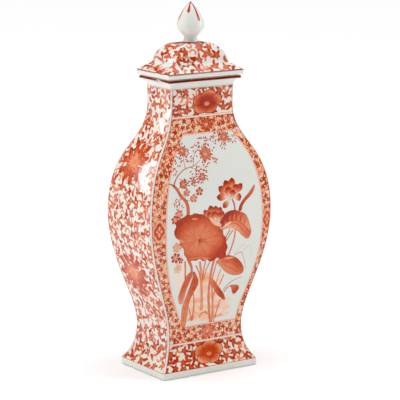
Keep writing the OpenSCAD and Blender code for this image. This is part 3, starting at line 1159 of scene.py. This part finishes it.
class Nodes:
    """A material's node tree, with short calls for adding and joining nodes."""

    def __init__(self, name):
        self.material = bpy.data.materials.new(name)
        self.material.use_nodes = True
        self.tree = self.material.node_tree
        self.shader = self.tree.nodes["Principled BSDF"]

    def add(self, kind, **settings):
        node = self.tree.nodes.new(kind)
        for key, value in settings.items():
            setattr(node, key, value)
        return node

    def join(self, source, target):
        self.tree.links.new(source, target)

    def math(self, operation, a, b, clamp=False):
        node = self.add("ShaderNodeMath", operation=operation, use_clamp=clamp)
        for socket, value in zip(node.inputs, (a, b)):
            if isinstance(value, (int, float)):
                socket.default_value = value
            else:
                self.join(value, socket)
        return node.outputs[0]

    def noise(self, scale, detail=2.0, stretch=(1, 1, 1)):
        place = self.add("ShaderNodeTexCoord")
        mapping = self.add("ShaderNodeMapping")
        mapping.inputs["Scale"].default_value = stretch
        node = self.add("ShaderNodeTexNoise")
        node.inputs["Scale"].default_value = scale
        node.inputs["Detail"].default_value = detail
        self.join(place.outputs["Object"], mapping.inputs["Vector"])
        self.join(mapping.outputs["Vector"], node.inputs["Vector"])
        return node.outputs["Fac"]

    def ramp(self, factor, stops):
        node = self.add("ShaderNodeValToRGB")
        elements = node.color_ramp.elements
        while len(elements) < len(stops):
            elements.new(0.5)
        for element, (position, code) in zip(elements, stops):
            element.position = position
            element.color = colour(code)
        self.join(factor, node.inputs["Fac"])
        return node.outputs["Color"]

    def bump(self, height, distance, strength=1.0):
        node = self.add("ShaderNodeBump")
        node.inputs["Distance"].default_value = distance
        node.inputs["Strength"].default_value = strength
        self.join(height, node.inputs["Height"])
        self.join(node.outputs["Normal"], self.shader.inputs["Normal"])


def painted_porcelain():
    """Clear glaze over white porcelain, with iron red enamel laid on by brush."""
    n = Nodes("painted_porcelain")
    tone = n.add("ShaderNodeAttribute", attribute_name="tone").outputs["Fac"]
    laid = n.math("MULTIPLY", tone, 8.0, clamp=True)
    streaks = n.math("SUBTRACT", n.noise(STREAKS, 3.0, (1, 1, 0.5)), 0.5)
    pools = n.math("SUBTRACT", n.noise(POOLS, 2.0), 0.5)
    swing = n.math("ADD", n.math("MULTIPLY", streaks, 0.22), n.math("MULTIPLY", pools, 0.18))
    brushed = n.math("ADD", tone, n.math("MULTIPLY", swing, laid), clamp=True)
    cloud = n.math("MULTIPLY", n.math("SUBTRACT", n.noise(CLOUDS, 3.0), 0.45), 0.06, clamp=True)
    n.join(n.ramp(n.math("ADD", brushed, cloud), ENAMEL), n.shader.inputs["Base Color"])
    n.join(n.math("ADD", n.math("MULTIPLY", laid, 0.02), 0.08), n.shader.inputs["Roughness"])
    n.shader.inputs["Specular IOR Level"].default_value = 0.24
    ripple = n.math("ADD", n.noise(RIPPLES, 2.0), n.math("MULTIPLY", n.noise(PORES, 2.0), 0.06))
    n.bump(ripple, 0.00035, 0.25)
    return n.material


def biscuit():
    """Unglazed porcelain where the jar and lid stood in the kiln."""
    n = Nodes("biscuit_porcelain")
    speckle = n.noise(SPECKLES, 4.0)
    n.join(n.ramp(speckle, BISCUIT), n.shader.inputs["Base Color"])
    n.join(n.math("ADD", n.math("MULTIPLY", speckle, 0.2), 0.6), n.shader.inputs["Roughness"])
    n.bump(speckle, 0.0002, 0.6)
    return n.material


def floor_material():
    """White paper, painted a touch greyer round the jar as painted shade, so that its shadow shows."""
    n = Nodes("studio_floor")
    place = n.add("ShaderNodeTexCoord")
    away = n.add("ShaderNodeVectorMath", operation="LENGTH")
    n.join(place.outputs["Object"], away.inputs[0])
    share = n.math("DIVIDE", away.outputs["Value"], 2.0, clamp=True)
    # Painted shade: the floor's colour darkens nearer the jar.
    n.join(n.ramp(share, ((0.08, "F5F5F5"), (0.7, "FDFDFD"))), n.shader.inputs["Base Color"])
    n.shader.inputs["Roughness"].default_value = 0.6
    n.shader.inputs["Specular IOR Level"].default_value = 0.2
    return n.material


# ---- studio

CAMERA_AZIMUTH = math.radians(-34.1)
CAMERA_ELEVATION = math.radians(11.29)
CAMERA_ROLL = 0.0045
CAMERA_DISTANCE = 2.36
CAMERA_AIM = Vector((0, 0, 0.1932))
LIGHT_AIM = Vector((0, 0, 0.3))
# Name, ends of the middle line, width and power of each light.
LIGHTS = (
    ("strip", (-0.442, 0.455, 0.24), (-0.442, 0.627, 0.568), 0.0095, 0.76),
    ("left_softbox", (-1.7, 0.4, 0.4), (-1.6, 0.4, 1.4), 1.0, 10.2),
    ("right_softbox", (1.6, -0.8, 0.4), (1.5, -0.75, 1.4), 1.0, 14),
)
FLOOR_REACH = 6.0


def camera():
    """Long lens, from the left of the front and a little above."""
    level = math.cos(CAMERA_ELEVATION)
    back = Vector((
        math.sin(CAMERA_AZIMUTH) * level, -math.cos(CAMERA_AZIMUTH) * level, math.sin(CAMERA_ELEVATION),
    ))
    data = bpy.data.cameras.new("camera")
    data.sensor_width = 36
    data.lens = 186.2
    data.shift_x = 0.0258
    data.shift_y = 0.0008
    obj = bpy.data.objects.new("camera", data)
    bpy.context.scene.collection.objects.link(obj)
    obj.rotation_mode = "QUATERNION"
    obj.rotation_quaternion = Quaternion(back, CAMERA_ROLL) @ back.to_track_quat("Z", "Y")
    obj.location = CAMERA_AIM + back * CAMERA_DISTANCE
    bpy.context.scene.camera = obj


def area_light(name, low, high, width, power):
    """A rectangular light whose middle line runs from low to high and that faces the jar."""
    low, high = Vector(low), Vector(high)
    data = bpy.data.lights.new(name, "AREA")
    data.shape = "RECTANGLE"
    data.size, data.size_y = width, (high - low).length
    data.energy = power
    middle = (low + high) / 2
    up = (high - low).normalized()
    away = (middle - LIGHT_AIM).normalized()
    right = up.cross(away).normalized()
    away = right.cross(up)
    obj = bpy.data.objects.new(name, data)
    bpy.context.scene.collection.objects.link(obj)
    obj.matrix_world = Matrix((right, up, away)).transposed().to_4x4()
    obj.location = middle
    obj.visible_camera = False


def studio_sky():
    """Light that comes down from a bright ceiling, with a white backdrop behind the jar."""
    world = bpy.data.worlds.new("studio")
    bpy.context.scene.world = world
    world.use_nodes = True
    tree = world.node_tree
    background = tree.nodes["Background"]
    place = tree.nodes.new("ShaderNodeTexCoord")
    split = tree.nodes.new("ShaderNodeSeparateXYZ")
    height = tree.nodes.new("ShaderNodeMapRange")
    height.interpolation_type = "SMOOTHSTEP"
    for name, value in (("From Min", 0.6), ("From Max", 0.95), ("To Min", 0.08), ("To Max", 2.62)):
        height.inputs[name].default_value = value
    sight = tree.nodes.new("ShaderNodeLightPath")
    strength = tree.nodes.new("ShaderNodeMix")
    strength.inputs["B"].default_value = 1.0
    tree.links.new(place.outputs["Generated"], split.inputs["Vector"])
    tree.links.new(split.outputs["Z"], height.inputs["Value"])
    tree.links.new(sight.outputs["Is Camera Ray"], strength.inputs["Factor"])
    tree.links.new(height.outputs["Result"], strength.inputs["A"])
    tree.links.new(strength.outputs["Result"], background.inputs["Strength"])
    background.inputs["Color"].default_value = (1, 1, 1, 1)


def studio():
    """The floor, the sky and the lights."""
    mesh = bpy.data.meshes.new("floor")
    corners = [(x, y, 0) for x, y in sheet(FLOOR_REACH, -FLOOR_REACH, FLOOR_REACH)]
    mesh.from_pydata(corners, [], [(0, 1, 2, 3)])
    mesh.materials.append(floor_material())
    floor = bpy.data.objects.new("floor", mesh)
    bpy.context.scene.collection.objects.link(floor)
    studio_sky()
    for light in LIGHTS:
        area_light(*light)
    bpy.context.scene.view_settings.view_transform = "Standard"


# ---- the jar

CORNER = 1.3
ROOF_SKIN_T = 0.7
WALLS = [Face(WALL_ROWS, turn, CORNER, crown=0.6) for turn in range(4)]
ROOFS = [Face(ROOF_ROWS, turn, CORNER, crown=0.2) for turn in range(4)]
MATERIALS = {"painted": painted_porcelain(), "biscuit": biscuit()}

camera()
studio()

PLACES = ("front", "right", "back", "left")
WALL_ART = (front_art(11), side_art(31), front_art(47).mirrored(), side_art(23))
for face, art, place in zip(WALLS, WALL_ART, PLACES):
    painted_face("painted_" + place, face, art, WALL_T, "jar", "painted_porcelain", "wall_" + place)
for face, place in zip(ROOFS, PLACES):
    art = roof_art(60 + face.turn, face.v[-1])
    painted_face("roof_" + place, face, art, ROOF_SKIN_T, "lid", "painted_porcelain", "lid_canopy")

foot_ring()
collar()
eave()
flange()
knob()
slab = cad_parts["floor_slab"]
slab.data.materials.clear()
slab.data.materials.append(MATERIALS["painted"])
